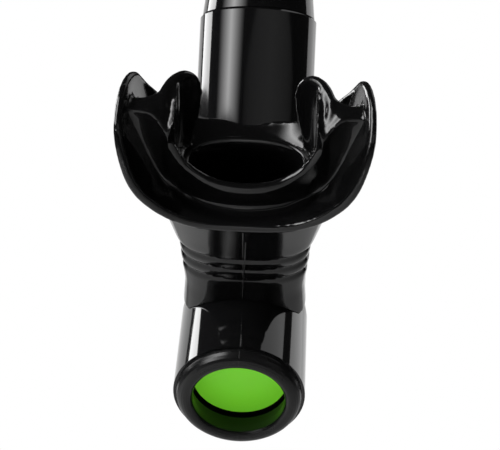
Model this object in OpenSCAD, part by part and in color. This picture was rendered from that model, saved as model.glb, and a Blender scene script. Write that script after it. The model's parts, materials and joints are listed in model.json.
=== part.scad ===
// Dry snorkel with a purge valve, modelled at rest with its float open, in millimetres.
// +Z runs up the barrel, -Y faces the wearer and the origin is the centre of the mouth opening.

/* [Layout] */
// Angle of the mouth axis from vertical, in degrees
mouth_tilt = 55; // [50:1:60]
// Angle of the purge axis from vertical, in degrees
purge_tilt = 134.5; // [130:0.5:138]
// Distance from the mouth opening to the junction of the three axes
mouth_reach = 70; // [67:1:73]
// Height of the swivel seam above the mouth opening
seam_z = 50.3; // [46:0.1:56]

/* [Mouthpiece] */
// Half width of the lip flange
flange_half_w = 33; // [32:0.5:34]
// Half height of the lip flange
flange_half_h = 20; // [18:0.5:21]
// Thickness of the lip flange
flange_t = 2.45; // [2:0.05:3]
// How far the bite tabs reach in front of the opening
bite_reach = 20; // [18:0.5:21]
// Half width of the mouth opening
opening_half_w = 14.7; // [14:0.1:15.2]
// Half height of the mouth opening
opening_half_h = 8.8; // [8:0.1:9.4]
// Thickness of the tongue guard wall
guard_t = 2.85; // [2.4:0.05:3.2]
// Depth of the three grooves around the neck
groove_depth = 0.9; // [0.5:0.1:1.1]

/* [Housing] */
// Outer radius of the wide tube below the seam
tube_r = 17.6; // [17:0.1:18]
// Outer radius of the purge chamber
chamber_r = 18.6; // [18.2:0.1:19]
// Wall thickness of the housing
housing_wall = 2.3; // [1.8:0.1:2.6]
// Length of the purge chamber along its axis
chamber_len = 31; // [30:0.1:32]

/* [Purge valve] */
// Radius of the purge membrane
membrane_r = 13.4; // [12.8:0.1:13.6]
// Thickness of the purge membrane
membrane_t = 1.2; // [0.8:0.1:1.5]
// Inner radius of the purge rim at its lip
lip_r = 13; // [12.6:0.1:13.2]
// Number of spokes in the valve seat
spokes = 6; // [4:1:8]

/* [Barrel] */
// Outer radius of the barrel
barrel_r = 12.7; // [12.2:0.1:13]
// Wall thickness of the barrel
barrel_wall = 1.8; // [1.4:0.1:2.2]
// Height of the barrel's top end
barrel_top_z = 329; // [300:1:340]

/* [Keeper] */
// Height of the middle of the strap keeper
keeper_z = 158; // [140:1:200]
// Height of the strap keeper
keeper_h = 40; // [38:1:44]
// Gap that the mask strap passes through
strap_gap = 6; // [5:0.5:7]

/* [Dry top] */
// Distance between the port's axis and the float chamber's axis
float_offset = 20; // [19:1:22]
// Inner radius of the top cover
cover_in_r = 17.8; // [17.4:0.1:18.4]
// Wall thickness of the top cover
cover_wall = 1.9; // [1.6:0.1:2.4]
// How far the float arm hangs open at rest, in degrees
open_angle = 18; // [14:1:18]
// Width of the water slots in the cover
slot_w = 3.2; // [2.4:0.1:3.6]

/* [Hidden] */
$fn = 96;

fit = 0.05;
axis_y = mouth_reach * sin(mouth_tilt);
junction_z = -mouth_reach * cos(mouth_tilt);
gloss_black = [0.02, 0.02, 0.022];
satin_black = [0.05, 0.05, 0.052];
valve_green = [0.3, 0.62, 0.08];
steel_grey = [0.62, 0.63, 0.65];
clear_grey = [0.12, 0.12, 0.13];

// ---------- frames ----------
module at_mouth() { rotate([mouth_tilt, 0, 0]) children(); }
module at_barrel(z = 0) { translate([0, axis_y, z]) children(); }
module at_purge(t = 0) {
    translate([0, axis_y, junction_z]) rotate([purge_tilt, 0, 0]) translate([0, 0, t]) children();
}

// ---------- shape helpers ----------
function signed_pow(v, e) = sign(v) * pow(abs(v), e);
function oval(a, b, e = 2, n = 64) =
    [for (i = [0 : n - 1]) let (t = 360 * i / n)
        [a * signed_pow(cos(t), 2 / e), b * signed_pow(sin(t), 2 / e)]];
function ring(a, b, z, e = 2, n = 64) = [for (p = oval(a, b, e, n)) [p[0], p[1], z]];
function wrap(i, n) = i % n;
function skin_sides(rows, n, closed) =
    [for (i = [0 : rows - (closed ? 1 : 2)]) for (j = [0 : n - 1])
        [i * n + j, wrap(i + 1, rows) * n + j,
         wrap(i + 1, rows) * n + wrap(j + 1, n), i * n + wrap(j + 1, n)]];
// A closed solid through rings of points; the rings run along the sweep and each turns the same way.
module skin(rings, closed = false) {
    n = len(rings[0]);
    rows = len(rings);
    caps = closed ? [] : [[for (j = [0 : n - 1]) j],
                          [for (j = [n - 1 : -1 : 0]) (rows - 1) * n + j]];
    polyhedron([for (r = rings) for (p = r) p], concat(skin_sides(rows, n, closed), caps),
               convexity = 8);
}
// A stadium: two round ends, the first on the port's axis and the second on the float's.
module stadium(r, h) {
    cylinder(r = r, h = h);
    translate([0, float_offset, 0]) cylinder(r = r, h = h);
    translate([-r, 0, 0]) cube([2 * r, float_offset, h]);
}
module rod_x(r, l) { translate([-l / 2, 0, 0]) rotate([0, 90, 0]) cylinder(r = r, h = l); }
module rod_y(r, l) { translate([0, l / 2, 0]) rotate([90, 0, 0]) cylinder(r = r, h = l); }

// ---------- mouthpiece ----------
// Paths in the mouth's frame, over half the width, from the bottom centre upwards.
rim_path = [[0, -19.2, -5.4], [13.5, -19.2, -4], [22.3, -19.3, 2.2], [28.2, -18, 9.9],
    [31.5, -11.7, 18.2], [31.9, -4, 22.6], [31, 4.3, 23.4], [29.1, 10.4, 20.6],
    [25.7, 11.6, 14.5], [21.2, 14.2, 6.1], [14, 17.5, -2.4], [7, 18.8, -4.7], [0, 17.8, -5.7]];
guard_edge = [[0, -9.4, 2.2], [5, -9, 2.4], [9.5, -7.8, 3.2], [14, -6.6, 6], [17, -6, 10.5],
    [19, -4.9, 15.6], [20, -1.5, 18.9], [20.1, 2.7, 20], [19.1, 6.3, 20.3], [17.4, 9.2, 20.3],
    [15, 11.6, 19.4], [12.7, 12.4, 17.2], [11.7, 12.2, 13.6], [12, 11.6, 9], [13, 10.6, 4.4],
    [14.6, 9.2, 0], [15.4, 7.9, -4.5], [15.4, 6.9, -8]];
guard_foot = [[0, -9.2], [4.8, -8.8], [9, -7.6], [13, -5.6], [15.2, -3.9], [16, -2.2], [16.3, 0],
    [16.4, 1.8], [16.5, 3.2], [16.5, 4.2], [16.4, 5], [16.3, 5.6], [16.2, 6.1], [16, 6.5],
    [15.8, 6.7], [15.6, 6.8], [15.4, 6.9], [15.2, 6.9]];
// Where the guard's foot and the flange's inner edge lie along the mouth axis.
foot_m = -8.7;
dish = 7;
// How the flange rises to its rim, and how much wider than the opening its inner edge is.
dish_power = 2.4;
root_scale = 1.12;
rim_steps = 3;
function flip(p) = len(p) == 3 ? [-p[0], p[1], p[2]] : [-p[0], p[1]];
function whole(path) =
    concat(path, [for (i = [len(path) - 2 : -1 : 1]) flip(path[i])]);
function both_sides(path) =
    concat([for (i = [len(path) - 1 : -1 : 1]) flip(path[i])], path);
// A smooth curve through the points of a path, at v points from its first.
function bend(a, b, c, d, s) =
    0.5 * (2 * b + (c - a) * s + (2 * a - 5 * b + 4 * c - d) * s * s
           + (3 * b - a - 3 * c + d) * s * s * s);
function at_loop(path, v) =
    let (n = len(path), i = floor(v))
    bend(path[(i + n - 1) % n], path[(i + n) % n], path[(i + 1) % n], path[(i + 2) % n], v - i);
function at_path(path, v) =
    let (n = len(path), i = min(max(floor(v), 0), n - 2))
    bend(path[max(i - 1, 0)], path[i], path[i + 1], path[min(i + 2, n - 1)], v - i);
rim_loop = whole(rim_path);
// The flange's middle surface, v points round the rim and u of the way out from the opening.
function flange_point(v, u) =
    let (r = at_loop(rim_loop, v), a = atan2(r[1] / flange_half_h, r[0] / flange_half_w),
         root = [opening_half_w * cos(a), opening_half_h * sin(a)] * root_scale)
    [root[0] + (r[0] - root[0]) * u, root[1] + (r[1] - root[1]) * u,
     -dish + (r[2] + dish) * pow(max(u, 0), dish_power)];
function flange_side(v, u, side) =
    let (d = 0.02,
         along = flange_point(v + d, u) - flange_point(v - d, u),
         out = flange_point(v, min(u + d, 1)) - flange_point(v, min(u + d, 1) - 2 * d),
         n = cross(out, along), point = flange_point(v, u))
    point + n / norm(n) * side * flange_t / 2;
flange_u = [0, 0.25, 0.45, 0.62, 0.76, 0.87, 0.95];
module lip_flange() {
    last = len(flange_u) - 1;
    skin([for (i = [0 : rim_steps * len(rim_loop) - 1]) let (v = i / rim_steps) concat(
            [for (u = flange_u) flange_side(v, u, 1)],
            [flange_point(v, 1)],
            [for (k = [last : -1 : 0]) flange_side(v, flange_u[k], -1)])],
         closed = true);
}
// The tongue guard stands on a foot around the opening and rises into an ear at each side.
guard_edges = both_sides(guard_edge);
guard_feet = both_sides(guard_foot);
function guard_point(v, w) =
    let (e = at_path(guard_edges, v), f = at_path(guard_feet, v))
    [f[0], f[1], foot_m] * (1 - w) + e * w;
// Outwards from an oval about as wide as the guard, so that it never folds at the ears.
guard_oval = [15, 11.4];
guard_low = 0.3;
function guard_normal(v) =
    let (p = guard_point(v, guard_low), n = [p[0] / pow(guard_oval[0], 2), p[1] / pow(guard_oval[1], 2), 0])
    n / norm(n);
// Section of the guard: how far up its wall each point is, and how far through its thickness.
guard_section = [[0, 0], [0.45, 0], [0.93, 0], [1, 0.3], [1, 0.7], [0.93, 1], [0.45, 1], [0, 1]];
// The wall is full from end_steps on, and half as thick at its two ends.
end_steps = 5;
module tongue_guard() {
    steps = 2 * (len(guard_edges) - 1);
    skin([for (i = [0 : steps])
        let (v = i / 2, thin = min(1, 0.5 + min(i, steps - i) / (2 * end_steps)))
            [for (q = guard_section) guard_point(v, q[0]) + guard_normal(v) * guard_t * thin * q[1]]]);
}
// The bite tab bridges the guard and the wing, with thick roots at both ends.
tab_x = [18, 19.4, 20.4, 21.6, 23.1, 25, 27, 29.2, 30.8];
tab_up = [8.2, 8.6, 7.4, 5.9, 4, 2.8, 2.2, 2.2, 2.8];
tab_low = [-4.6, -7, -6.4, -5.3, -3.9, -3.1, -2.8, -2.8, -3.4];
tab_top = bite_reach - 0.2;
tab_sunk = 0.3;
web_root_x = 16.5;
web_tip = [31.6, 22.9];
function flange_m(x) =
    -dish + (web_tip[1] + dish) * pow((x - web_root_x) / (web_tip[0] - web_root_x), dish_power);
box_faces = [[0, 1, 2, 3], [7, 6, 5, 4], [0, 4, 5, 1], [1, 5, 6, 2], [2, 6, 7, 3], [3, 7, 4, 0]];
function tab_corners(i) =
    let (x = tab_x[i], back = flange_m(x) - tab_sunk, low_top = tab_top + 1.1 * min(0, tab_low[i] + 3.5))
    [[x, tab_low[i], back], [x, tab_up[i], back], [x, tab_up[i], tab_top],
     [x, tab_low[i], low_top]];
module bite_tab() {
    for (i = [0 : len(tab_x) - 2])
        hull() polyhedron(concat(tab_corners(i), tab_corners(i + 1)), box_faces);
}
neck_end = -60;
// Power of the neck's and spigot's ovals, between an ellipse's 2 and a box.
neck_power = 2.5;
// Rows of the neck: place along the mouth axis, half width, half height.
neck_rows = [[neck_end, 17.9, 9.7], [-53, 17.4, 9], [-49, 17.2, 8.6], [-45, 17.5, 8.4], [-42, 17.8, 8.4],
    [-36, 18.2, 9], [-31, 18.5, 9.7], [-28, 19.4, 10.2], [-24, 20.4, 10.9], [-19, 21.6, 12],
    [-14, 22.8, 13.2], [-10, 23.8, 14], [-7.6, 22.4, 13.4], [-5.4, 18.9, 11.6],
    [-1.6, 16.5, 10.2]];
groove_at = [-30.6, -35.6, -40.6];
module neck() { skin([for (r = neck_rows) ring(r[1], r[2], r[0], neck_power)]); }
module neck_groove(m) {
    half = 0.9;
    clear = 4;
    a = lookup(m, [for (r = neck_rows) [r[0], r[1]]]);
    b = lookup(m, [for (r = neck_rows) [r[0], r[2]]]);
    difference() {
        translate([0, 0, m - half]) linear_extrude(2 * half) polygon(oval(a + clear, b + clear));
        skin([ring(a, b, m - half - 0.2, neck_power),
              ring(a - groove_depth, b - groove_depth, m - half / 2, neck_power),
              ring(a - groove_depth, b - groove_depth, m + half / 2, neck_power),
              ring(a, b, m + half + 0.2, neck_power)]);
    }
}
spigot_a = 15.2;
spigot_b = 6.6;
spigot_wall = 1.5;
spigot_end = -31;
// Power of the opening's oval at the lips, and how far it sits above the mouth axis.
lip_power = 2.6;
lip_lift = 0.35;
module passage() {
    skin([ring(spigot_a + fit, spigot_b + fit, neck_end - 2, neck_power),
          ring(spigot_a + fit, spigot_b + fit, spigot_end + fit, neck_power)]);
    translate([0, lip_lift, 0])
        skin([ring(spigot_a - 0.8, spigot_b - 0.8, spigot_end - 1, neck_power),
              ring(spigot_a - 1, spigot_b - 0.2, -20, neck_power),
              ring(opening_half_w - 0.8, opening_half_h - 1.8, -8, lip_power),
              ring(opening_half_w - 0.5, opening_half_h - 1.2, -4.6, lip_power),
              ring(opening_half_w + 0.2, opening_half_h - 0.2, -2.6, lip_power),
              ring(opening_half_w + 1.1, opening_half_h + 0.8, -0.9, lip_power)]);
}
module mouthpiece() {
    seat_gap = 0.15;
    color(gloss_black) difference() {
        at_mouth() difference() {
            union() {
                lip_flange();
                tongue_guard();
                bite_tab();
                mirror([1, 0, 0]) bite_tab();
                neck();
            }
            passage();
            for (m = groove_at) neck_groove(m);
        }
        at_barrel(junction_z) cylinder(r = tube_r + seat_gap, h = seam_z);
        at_barrel(junction_z) sphere(r = chamber_r + seat_gap);
        at_purge() cylinder(r = chamber_r + seat_gap, h = chamber_len);
    }
}
// ---------- lower housing ----------
elbow_r = chamber_r - 0.1;
tube_bore_r = tube_r - housing_wall + 0.1;
chamber_bore_r = chamber_r - housing_wall - 0.1;
elbow_bore_r = chamber_bore_r - 0.1;
seam_chamfer = 0.7;
spigot_root = 6;
module lower_housing() {
    tube_h = seam_z - junction_z;
    color(gloss_black) difference() {
        union() {
            at_barrel(junction_z) cylinder(r = tube_r, h = tube_h - seam_chamfer);
            at_barrel(seam_z - seam_chamfer)
                cylinder(r1 = tube_r, r2 = tube_r - seam_chamfer, h = seam_chamfer);
            at_barrel(junction_z) sphere(r = elbow_r);
            at_purge() cylinder(r = chamber_r, h = chamber_len);
            at_mouth() translate([0, 0, -mouth_reach + spigot_root])
                linear_extrude(mouth_reach - spigot_root + spigot_end)
                    polygon(oval(spigot_a, spigot_b, neck_power));
        }
        at_barrel(junction_z) cylinder(r = tube_bore_r, h = tube_h + 1);
        at_barrel(junction_z) sphere(r = elbow_bore_r);
        at_purge() cylinder(r = chamber_bore_r, h = chamber_len + 1);
        at_mouth() translate([0, 0, -mouth_reach + spigot_root - 1]) linear_extrude(mouth_reach)
            polygon(oval(spigot_a - spigot_wall, spigot_b - spigot_wall, neck_power));
    }
}

// ---------- purge valve ----------
membrane_at = 24.3;
seat_t = 2;
seat_gap_t = 0.1;
seat_r = chamber_bore_r - fit;
hub_r = 3.2;
stem_r = 1.3;
purge_stroke = 1.5;
seat_ledge = 1.8;
spoke_w = 1.6;
stem_button_h = 1.6;
module valve_seat() {
    low = membrane_at - seat_gap_t - seat_t;
    color(satin_black) at_purge(low) difference() {
        union() {
            difference() {
                cylinder(r = seat_r, h = seat_t);
                translate([0, 0, -1]) cylinder(r = membrane_r - seat_ledge, h = seat_t + 2);
            }
            cylinder(r = hub_r, h = seat_t);
            for (i = [0 : spokes - 1]) rotate([0, 0, 360 * i / spokes])
                translate([hub_r - 1, -spoke_w / 2, 0.1])
                    cube([membrane_r - hub_r - 0.4, spoke_w, seat_t - 0.2]);
        }
        translate([0, 0, -1]) cylinder(r = stem_r + fit, h = seat_t + 2);
    }
}
module purge_membrane() {
    stem_h = seat_t + seat_gap_t + purge_stroke + 0.4;
    color(valve_green) at_purge(membrane_at) {
        cylinder(r = membrane_r, h = membrane_t);
        translate([0, 0, -stem_h]) cylinder(r = stem_r, h = stem_h + membrane_t / 2);
        translate([0, 0, -stem_h - stem_button_h]) cylinder(r = stem_r + 0.9, h = stem_button_h);
    }
}
rim_out_r = chamber_r - 0.85;
rim_h = 3.8;
crown_r = lip_r + 1.7;
lip_depth = 1.8;
skirt_gap = purge_stroke + membrane_t + 0.3;
// The bead's section, from its outer foot over the crown to the lip.
function bead() = concat(
    [for (a = [0 : 15 : 90]) [crown_r + (rim_out_r - crown_r) * cos(a), chamber_len + rim_h * sin(a)]],
    [for (a = [75 : -15 : 0]) [crown_r - (crown_r - lip_r) * cos(a),
                               chamber_len + rim_h - lip_depth * (1 - sin(a))]]);
module purge_rim() {
    skirt_low = membrane_at + skirt_gap;
    skirt_in = membrane_r + 0.5;
    color(satin_black) at_purge() rotate_extrude()
        polygon(concat(bead(), [[lip_r, chamber_len], [skirt_in, chamber_len - 0.6],
            [skirt_in, skirt_low], [seat_r, skirt_low], [seat_r, chamber_len]]));
}

// ---------- barrel and swivel ----------
adapter_cone_h = 23;
adapter_collar_h = 11;
adapter_collar_r = barrel_r + 1.9;
adapter_spigot_h = 13;
adapter_gap = 0.1;
adapter_low = seam_z + adapter_gap;
adapter_top = adapter_low + adapter_cone_h + adapter_collar_h;
adapter_spigot_r = tube_bore_r - 0.08;
barrel_bore_r = barrel_r - barrel_wall;
barrel_low_z = adapter_top - 16;
ring_minor = 0.95;
ring_groove = 1.5;
adapter_wall = 2.4;
ring_z = seam_z - 6;
module swivel_adapter() {
    edge = 0.6;
    cone_low_r = tube_r - edge;
    color(gloss_black) at_barrel() difference() {
        union() {
            translate([0, 0, adapter_low - adapter_spigot_h])
                cylinder(r = adapter_spigot_r, h = adapter_spigot_h + 1);
            translate([0, 0, adapter_low])
                cylinder(r1 = cone_low_r, r2 = adapter_collar_r, h = adapter_cone_h);
            translate([0, 0, adapter_low + adapter_cone_h])
                cylinder(r = adapter_collar_r, h = adapter_collar_h - edge);
            translate([0, 0, adapter_top - edge])
                cylinder(r1 = adapter_collar_r, r2 = adapter_collar_r - edge, h = edge);
        }
        translate([0, 0, adapter_low - adapter_spigot_h - 1])
            cylinder(r = barrel_bore_r, h = adapter_top);
        translate([0, 0, adapter_low - adapter_spigot_h - 1])
            cylinder(r = adapter_spigot_r - adapter_wall, h = adapter_spigot_h);
        translate([0, 0, barrel_low_z]) cylinder(r = barrel_r + fit / 2, h = adapter_top);
        translate([0, 0, ring_z]) rotate_extrude()
            translate([adapter_spigot_r - ring_groove, -ring_minor - 0.1])
                square([2 * ring_groove, 2 * ring_minor + 0.2]);
    }
}
module swivel_o_ring() {
    major = tube_bore_r - fit - ring_minor * 0.9;
    floor_r = adapter_spigot_r - ring_groove + 0.02;
    color(satin_black) at_barrel(ring_z) rotate_extrude() intersection() {
        translate([major, 0]) circle(r = ring_minor);
        translate([floor_r, -2]) square([tube_bore_r - fit - floor_r, 4]);
    }
}
module barrel() {
    color(gloss_black) at_barrel(barrel_low_z + fit) difference() {
        cylinder(r = barrel_r, h = barrel_top_z - barrel_low_z - 2 * fit);
        translate([0, 0, -1]) cylinder(r = barrel_bore_r, h = barrel_top_z);
    }
}
band_z = 286;
band_h = 16;
module visibility_band() {
    color(valve_green) at_barrel(band_z) difference() {
        cylinder(r = barrel_r + 0.5, h = band_h);
        translate([0, 0, -1]) cylinder(r = barrel_r + fit / 2, h = band_h + 2);
    }
}

// ---------- strap keeper ----------
collar_wall = 2.3;
collar_r = barrel_r + collar_wall;
flange_h = 2.2;
clip_wall = 2.4;
clip_in_r = collar_r + 0.08;
clip_out_r = clip_in_r + clip_wall;
clip_h = keeper_h - 2 * flange_h - 0.4;
arm_w = 9;
arm_t = 3.6;
gate_w = 4.8;
gate_t = 3.4;
gate_x = clip_out_r + strap_gap + gate_t / 2;
arm_z = clip_h / 2 - arm_t / 2;
pin_r = 1;
arm_end_r = 5.1;
hook = 1.6;
hook_h = 2.4;
module keeper_collar() {
    color(satin_black) at_barrel(keeper_z - keeper_h / 2) difference() {
        union() {
            cylinder(r = collar_r, h = keeper_h);
            cylinder(r = clip_out_r - 0.4, h = flange_h);
            translate([0, 0, keeper_h - flange_h]) cylinder(r = clip_out_r - 0.4, h = flange_h);
        }
        translate([0, 0, -1]) cylinder(r = barrel_r + 0.06, h = keeper_h + 2);
    }
}
module strap_clip() {
    notch_w = gate_w + 0.6;
    color(gloss_black) at_barrel(keeper_z) difference() {
        union() {
            translate([0, 0, -clip_h / 2]) cylinder(r = clip_out_r, h = clip_h);
            for (s = [-1, 1]) translate([0, -arm_w / 2, s * arm_z - arm_t / 2])
                cube([gate_x, arm_w, arm_t]);
            for (s = [-1, 1]) translate([gate_x, 0, s * arm_z - arm_t / 2])
                intersection() {
                    translate([0, -arm_w / 2, 0]) cube([3, arm_w, arm_t]);
                    translate([3 - arm_end_r - 0.3, 0, 0]) cylinder(r = arm_end_r, h = arm_t);
                }
        }
        translate([0, 0, -clip_h]) cylinder(r = clip_in_r, h = 2 * clip_h);
        for (s = [-1, 1]) translate([gate_x - 2.4, -notch_w / 2, s * arm_z - arm_t])
            cube([8, notch_w, 2 * arm_t]);
        translate([gate_x, 0, -arm_z]) rod_y(pin_r, 2 * arm_w);
    }
}
module clip_gate() {
    top = arm_z + arm_t / 2 - 0.2;
    color(gloss_black) at_barrel(keeper_z) translate([gate_x, 0, 0]) difference() {
        union() {
            translate([0, 0, -arm_z]) rod_y(gate_t / 2, gate_w);
            translate([-gate_t / 2, -gate_w / 2, -arm_z]) cube([gate_t, gate_w, arm_z + top - 1]);
            translate([-gate_t / 2, -gate_w / 2, arm_z - arm_t]) cube([gate_t + hook, gate_w, hook_h]);
        }
        translate([0, 0, -arm_z]) rod_y(pin_r + fit, 2 * gate_w);
    }
}
module gate_pin() {
    color(steel_grey) at_barrel(keeper_z) translate([gate_x, 0, -arm_z]) rod_y(pin_r, arm_w);
}

// ---------- dry top ----------
socket_h = 16;
plate_z = barrel_top_z;
plate_t = 3;
port_r = 9.2;
chimney_r = 11.2;
seat_z = plate_z + plate_t + 18;
gasket_t = 1.2;
seal_t = 3.4;
seal_r = 11.4;
pin_y = 14.6;
pin_z = seat_z + gasket_t + 2.9;
ear_x = 13;
ear_t = 2.4;
arm_half_w = 11;
float_h = 12.5;
cover_low = plate_z - 4;
cover_top = seat_z + 22;
roof_t = 2;
screw_y = [-9, 29];
screw_r = 1.25;
head_r = 2.3;
head_h = 1.3;
driver_w = 0.6;
arm_lift = 0.6;
arm_plate_t = 2;
module top_base() {
    color(satin_black) at_barrel() difference() {
        union() {
            translate([0, 0, plate_z - socket_h]) cylinder(r = barrel_r + 2.4, h = socket_h + 1);
            translate([0, 0, plate_z]) stadium(cover_in_r - 0.1, plate_t);
            translate([0, 0, plate_z]) cylinder(r = chimney_r, h = seat_z - plate_z);
            for (s = [-1, 1]) translate([s * (ear_x + ear_t / 2), pin_y, 0]) {
                translate([-ear_t / 2, -3, plate_z]) cube([ear_t, 6, pin_z - plate_z]);
                translate([0, 0, pin_z]) rod_x(3, ear_t);
            }
        }
        translate([0, 0, plate_z - socket_h - 1])
            cylinder(r = barrel_r + fit / 2, h = socket_h + 1);
        translate([0, 0, plate_z - 1]) cylinder(r = port_r, h = 40);
        translate([0, pin_y, pin_z]) rod_x(pin_r, 60);
    }
}
module port_gasket() {
    color(clear_grey) at_barrel(seat_z) difference() {
        cylinder(r = chimney_r - 0.1, h = gasket_t);
        translate([0, 0, -1]) cylinder(r = port_r + 0.3, h = gasket_t + 2);
    }
}
// Holds what turns with the float arm, drawn shut and swung open about the pin.
module on_arm() {
    at_barrel() translate([0, pin_y, pin_z]) rotate([-open_angle, 0, 0]) children();
}
module float_arm() {
    boss_r = 2.6;
    color(satin_black) on_arm() difference() {
        union() {
            rod_x(boss_r, 2 * arm_half_w);
            translate([-arm_half_w, -pin_y, arm_lift]) cube([2 * arm_half_w, pin_y, arm_plate_t]);
            translate([0, -pin_y, arm_lift]) cylinder(r = arm_half_w, h = arm_plate_t);
            translate([-arm_half_w + 3, 0, arm_lift]) cube([2 * arm_half_w - 6, 20, arm_plate_t]);
        }
        rod_x(pin_r + fit, 60);
    }
}
module port_seal() {
    color(valve_green) on_arm() translate([0, -pin_y, arm_lift - seal_t])
        cylinder(r = seal_r - 0.4, h = seal_t);
}
module float() {
    float_len = 15.4;
    color(clear_grey) on_arm() translate([-arm_half_w, 3.4, arm_lift - float_h]) difference() {
        cube([2 * arm_half_w, float_len, float_h]);
        translate([2, 2, -1]) cube([2 * arm_half_w - 4, float_len - 4, float_h - 1]);
    }
}
module arm_pin() {
    color(steel_grey) at_barrel() translate([0, pin_y, pin_z]) rod_x(pin_r, 2 * (ear_x + ear_t));
}
slot_rows = [for (y = [-6 : 6.5 : 26]) y];
module top_cover() {
    slot_z = plate_z + plate_t + 3;
    slot_h = 15;
    color(gloss_black) at_barrel() difference() {
        translate([0, 0, cover_low]) stadium(cover_in_r + cover_wall, cover_top - cover_low);
        translate([0, 0, cover_low - 1]) stadium(cover_in_r, cover_top - roof_t - cover_low + 1);
        for (y = slot_rows) translate([-30, y - slot_w / 2, slot_z]) cube([60, slot_w, slot_h]);
        for (y = screw_y) translate([0, y, cover_low]) cylinder(r = screw_r, h = 100);
    }
}
module top_cap() {
    cap_t = 2.4;
    color(valve_green) at_barrel(cover_top + 0.02) difference() {
        union() {
            stadium(cover_in_r - 1, cap_t - 0.8);
            translate([0, 0, cap_t - 0.8]) stadium(cover_in_r - 1.8, 0.8);
        }
        for (y = screw_y) translate([0, y, -1]) cylinder(r = screw_r + fit, h = 10);
        for (y = screw_y) translate([0, y, 1]) cylinder(r = head_r + 0.2, h = 10);
    }
}
module cap_screws() {
    color(steel_grey) at_barrel(cover_top) for (y = screw_y) translate([0, y, 0]) {
        translate([0, 0, -roof_t - 1.5]) cylinder(r = screw_r, h = roof_t + 3);
        difference() {
            translate([0, 0, 1.02]) cylinder(r = head_r, h = head_h);
            translate([-2, -driver_w / 2, 1.8]) cube([4, driver_w, 2]);
            translate([-driver_w / 2, -2, 1.8]) cube([driver_w, 4, 2]);
        }
    }
}

mouthpiece();
lower_housing();
valve_seat();
purge_membrane();
purge_rim();
swivel_adapter();
swivel_o_ring();
barrel();
visibility_band();
keeper_collar();
strap_clip();
clip_gate();
gate_pin();
top_base();
port_gasket();
float_arm();
port_seal();
float();
arm_pin();
top_cover();
top_cap();
cap_screws();
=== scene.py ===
"""Dry snorkel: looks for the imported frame, laid out as an add-on and run as a script."""

import json
import math

import bmesh
import bpy
from mathutils import Matrix, Vector
from mathutils.bvhtree import BVHTree
from mathutils.kdtree import KDTree


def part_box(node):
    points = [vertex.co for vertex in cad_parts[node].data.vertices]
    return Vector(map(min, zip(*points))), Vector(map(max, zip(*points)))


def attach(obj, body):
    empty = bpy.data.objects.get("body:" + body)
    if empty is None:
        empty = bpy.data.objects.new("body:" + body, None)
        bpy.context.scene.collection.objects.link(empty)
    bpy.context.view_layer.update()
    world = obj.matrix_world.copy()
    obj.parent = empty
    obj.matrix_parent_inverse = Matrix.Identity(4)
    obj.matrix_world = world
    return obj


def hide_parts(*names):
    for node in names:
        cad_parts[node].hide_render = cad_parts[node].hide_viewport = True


bl_info = {
    "name": "Dry Snorkel",
    "version": (1, 0, 0),
    "blender": (4, 5, 0),
    "location": "View3D > Sidebar > Snorkel",
    "description": "Builds the looks of a dry snorkel around its packed frame",
    "category": "Object",
}

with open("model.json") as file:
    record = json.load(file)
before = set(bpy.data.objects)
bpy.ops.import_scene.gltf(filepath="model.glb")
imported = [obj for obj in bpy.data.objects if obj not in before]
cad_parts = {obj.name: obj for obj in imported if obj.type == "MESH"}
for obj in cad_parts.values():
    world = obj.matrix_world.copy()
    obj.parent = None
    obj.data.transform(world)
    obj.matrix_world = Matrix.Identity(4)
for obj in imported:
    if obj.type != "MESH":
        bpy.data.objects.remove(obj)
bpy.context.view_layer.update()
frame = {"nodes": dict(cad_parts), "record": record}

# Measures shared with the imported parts, in millimetres and degrees.
MM = 0.001
MOUTH_TILT = 55.0
PURGE_TILT = 134.5
MOUTH_REACH = 70.0
AXIS_Y = MOUTH_REACH * math.sin(math.radians(MOUTH_TILT))
JUNCTION_Z = -MOUTH_REACH * math.cos(math.radians(MOUTH_TILT))
TUBE_R = 17.6
CHAMBER_R = 18.6
CHAMBER_LEN = 31.0
TUBE_LEN = 100.0
CUFF_GAP = 0.15

# Size of the photograph, where the mouth opening's centre shows in it, and points that are easy to find.
FRAME_W, FRAME_H = 500, 450
MOUTH_X, MOUTH_Y = 246, 160
IMAGE_POINTS = {
    "left_edge": (113.0, 129.0),
    "right_edge": (376.0, 129.0),
    "bottom_edge": (238.5, 438.0),
    "left_wing_tip": (134.0, 72.5),
    "right_wing_tip": (365.0, 80.0),
    "seam_left": (202.5, 17.0),
    "seam_right": (314.0, 20.0),
    "seam_front": (257.0, 6.0),
    "flange_bottom": (243.0, 231.0),
    "groove_left": (178.7, 234.0),
    "groove_right": (310.9, 233.4),
    "rim_left": (173.7, 386.0),
    "rim_right": (304.2, 389.0),
    "disc_bottom": (240.4, 410.9),
    "neck_line_top": (243.0, 233.0),
    "neck_line_foot": (242.5, 300.0),
    "chamber_line_top": (242.0, 308.0),
    "chamber_line_foot": (240.5, 384.0),
}


# ---------- frames ----------
def turn_about_x(degrees, origin):
    """Matrix that takes a part drawn in millimetres to its place, turned about X."""
    return (Matrix.Translation(Vector(origin) * MM)
            @ Matrix.Rotation(math.radians(degrees), 4, "X") @ Matrix.Scale(MM, 4))


MOUTH = turn_about_x(MOUTH_TILT, (0, 0, 0))
PURGE = turn_about_x(PURGE_TILT, (0, AXIS_Y, JUNCTION_Z))
BARREL = turn_about_x(0, (0, AXIS_Y, 0))


# ---------- modelling helpers ----------
def clear_selection():
    """Leaves edit mode and selects nothing."""
    if bpy.context.object and bpy.context.object.mode != "OBJECT":
        bpy.ops.object.mode_set(mode="OBJECT")
    bpy.ops.object.select_all(action="DESELECT")


def select_only(piece):
    clear_selection()
    piece.select_set(True)
    bpy.context.view_layer.objects.active = piece


def named(name):
    """Names the piece just added, and its mesh."""
    piece = bpy.context.object
    piece.name = name
    piece.data.name = name
    return piece


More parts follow.
